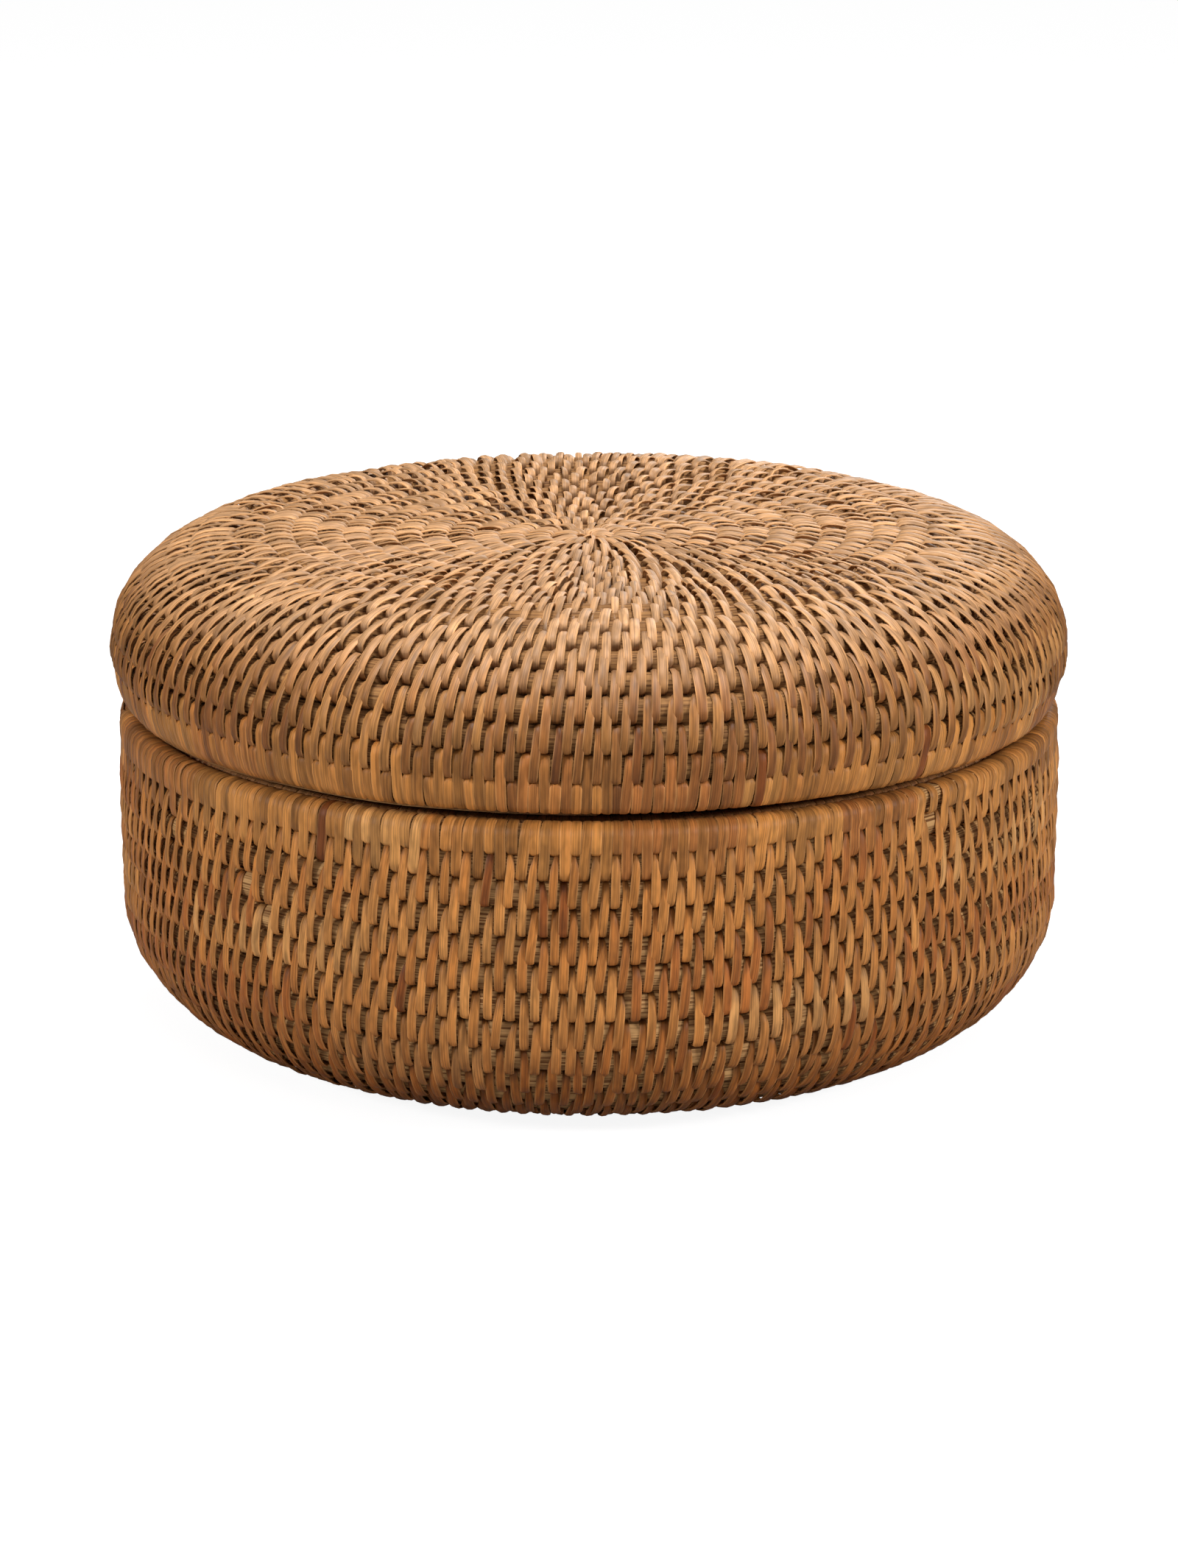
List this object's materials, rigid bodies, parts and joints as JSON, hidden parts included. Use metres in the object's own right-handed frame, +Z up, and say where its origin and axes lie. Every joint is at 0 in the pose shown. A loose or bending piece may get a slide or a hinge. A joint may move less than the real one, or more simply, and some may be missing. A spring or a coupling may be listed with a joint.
{
  "type": "lidded basket",
  "caption": "Round coiled rattan basket with a rounded base, close-wrapped rims, a dished lift-off lid and an inner collar that the lid fits over.",
  "frame": {"origin": "centre of the base's underside, on the basket's axis, level with the surface it stands on", "axes": "+Z up along the axis of the body and the lid; -Y is the side towards the picture's camera"},
  "size_m": [0.2976, 0.2978, 0.1592],
  "materials": {
    "bound_wall_rattan": "satin, rattan cane sewn with split strips, warm brown",
    "bound_top_rattan": "satin, rattan cane sewn with split strips, paler where light has bleached it",
    "wrapping_rattan": "satin, split rattan strips wrapped side by side",
    "hoop_rattan": "satin, rattan hoop sewn with split strips"
  },
  "bodies": {
    "basket": {"base_cane_inner": "bound_wall_rattan", "base_cane_outer": "bound_wall_rattan", "bend_cane_lower": "bound_wall_rattan", "bend_cane_middle": "bound_wall_rattan", "bend_cane_upper": "bound_wall_rattan", "wall_cane_lower": "bound_wall_rattan", "wall_cane_middle": "bound_wall_rattan", "wall_cane_upper": "bound_wall_rattan", "rim_cane": "bound_wall_rattan", "rim_wrapping": "wrapping_rattan", "collar_hoop_lower": "hoop_rattan", "collar_hoop_upper": "hoop_rattan"},
    "lid": {"lid_top_cane_inner": "bound_top_rattan", "lid_top_cane_outer": "bound_top_rattan", "lid_shoulder_cane_upper": "bound_top_rattan", "lid_shoulder_cane_middle": "bound_top_rattan", "lid_shoulder_cane_lower": "bound_wall_rattan", "lid_side_cane": "bound_wall_rattan", "lid_rim_cane": "bound_wall_rattan", "lid_rim_wrapping": "wrapping_rattan"}
  },
  "joints": [
    {"name": "lid_lift", "type": "slide", "parent": "basket", "child": "lid", "axis": [0, 0, 1], "range_m": [0, 0.15]}
  ]
}
